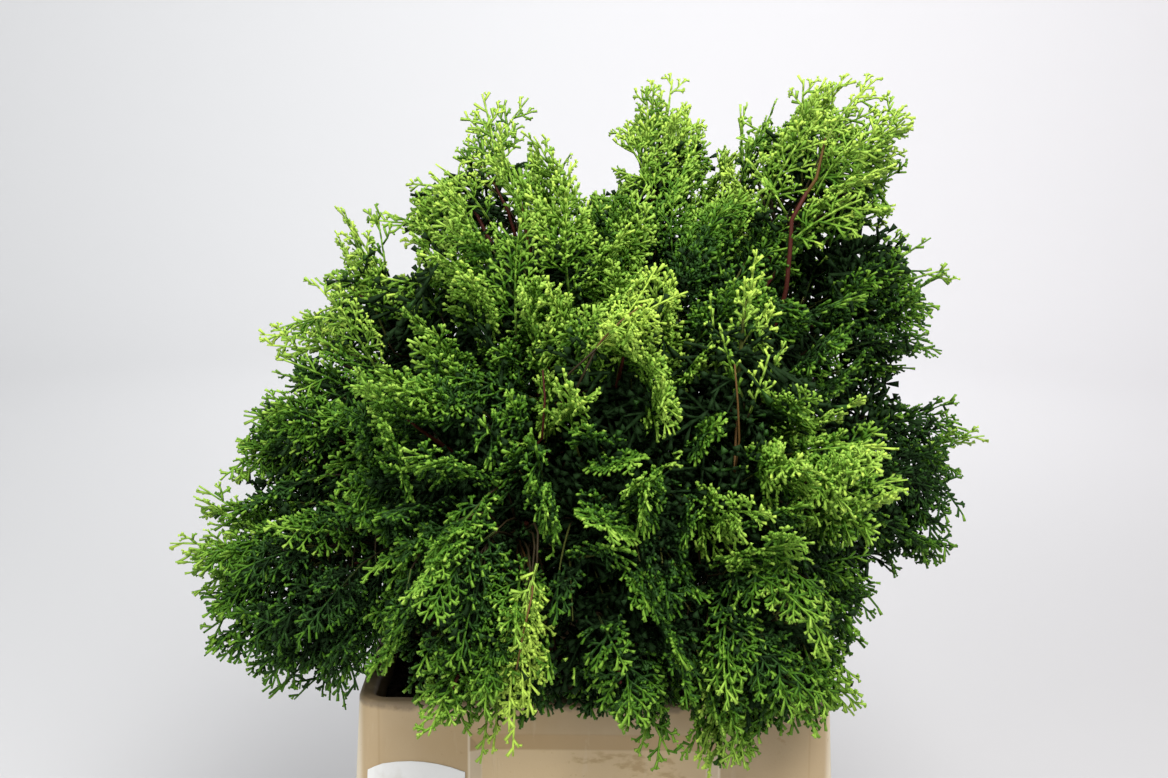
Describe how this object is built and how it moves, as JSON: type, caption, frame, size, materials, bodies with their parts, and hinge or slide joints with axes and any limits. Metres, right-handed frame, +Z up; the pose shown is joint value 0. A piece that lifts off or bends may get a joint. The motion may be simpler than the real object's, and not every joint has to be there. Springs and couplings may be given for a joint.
{
  "type": "potted thuja",
  "caption": "Bushy potted thuja with slender red-brown stems and fan-like green sprays, in a cream rectangular tub of soil.",
  "frame": {"origin": "centre of the tub's flat underside, on the floor", "axes": "+Z up, +X to the plant's right as seen from its front, +Y to its back; the tub's long side lies along X"},
  "size_m": [0.7249, 0.6308, 0.8045],
  "materials": {
    "tub": "worn cream plastic with scuffs and brown residue",
    "label": "blank white paper",
    "soil": "dark moist potting soil",
    "bark": "red-brown bark, olive towards the tips",
    "deep_foliage": "deep green scale leaves",
    "fresh_foliage": "fresh green scale leaves",
    "tip_foliage": "yellow-green young scale leaves"
  },
  "bodies": {
    "root": {"back_left": "deep_foliage", "back_left_bough": "bark", "back_left_low": "deep_foliage", "back_left_low_bough": "bark", "back_left_stem": "bark", "back_low": "deep_foliage", "back_low_bough": "bark", "back_middle": "fresh_foliage", "back_middle_bough": "bark", "back_right": "deep_foliage", "back_right_bough": "bark", "back_right_low": "deep_foliage", "back_right_low_bough": "bark", "back_right_stem": "bark", "back_right_top": "fresh_foliage", "back_stem": "bark", "back_top": "deep_foliage", "blank_label": "label", "front_heart": "deep_foliage", "front_heart_bough": "bark", "front_left_stem": "bark", "front_low": "deep_foliage", "front_low_bough": "bark", "front_middle": "fresh_foliage", "front_right_stem": "bark", "front_stem": "bark", "left_front": "fresh_foliage", "left_front_low": "tip_foliage", "left_front_low_bough": "bark", "left_low": "deep_foliage", "left_low_bough": "bark", "left_shoulder": "fresh_foliage", "left_stem": "bark", "left_top": "fresh_foliage", "left_wing": "deep_foliage", "left_wing_bough": "bark", "middle_heart": "deep_foliage", "middle_heart_bough": "bark", "middle_stem": "bark", "middle_top": "fresh_foliage", "right_front": "fresh_foliage", "right_front_bough": "bark", "right_front_low": "fresh_foliage", "right_front_low_bough": "bark", "right_heart": "fresh_foliage", "right_low": "deep_foliage", "right_low_bough": "bark", "right_shoulder": "deep_foliage", "right_shoulder_bough": "bark", "right_stem": "bark", "right_top": "fresh_foliage", "right_wing": "deep_foliage", "right_wing_bough": "bark", "soil": "soil", "tub": "tub", "upright_shoot": "tip_foliage", "upright_shoot_bough": "bark"}
  },
  "joints": []
}
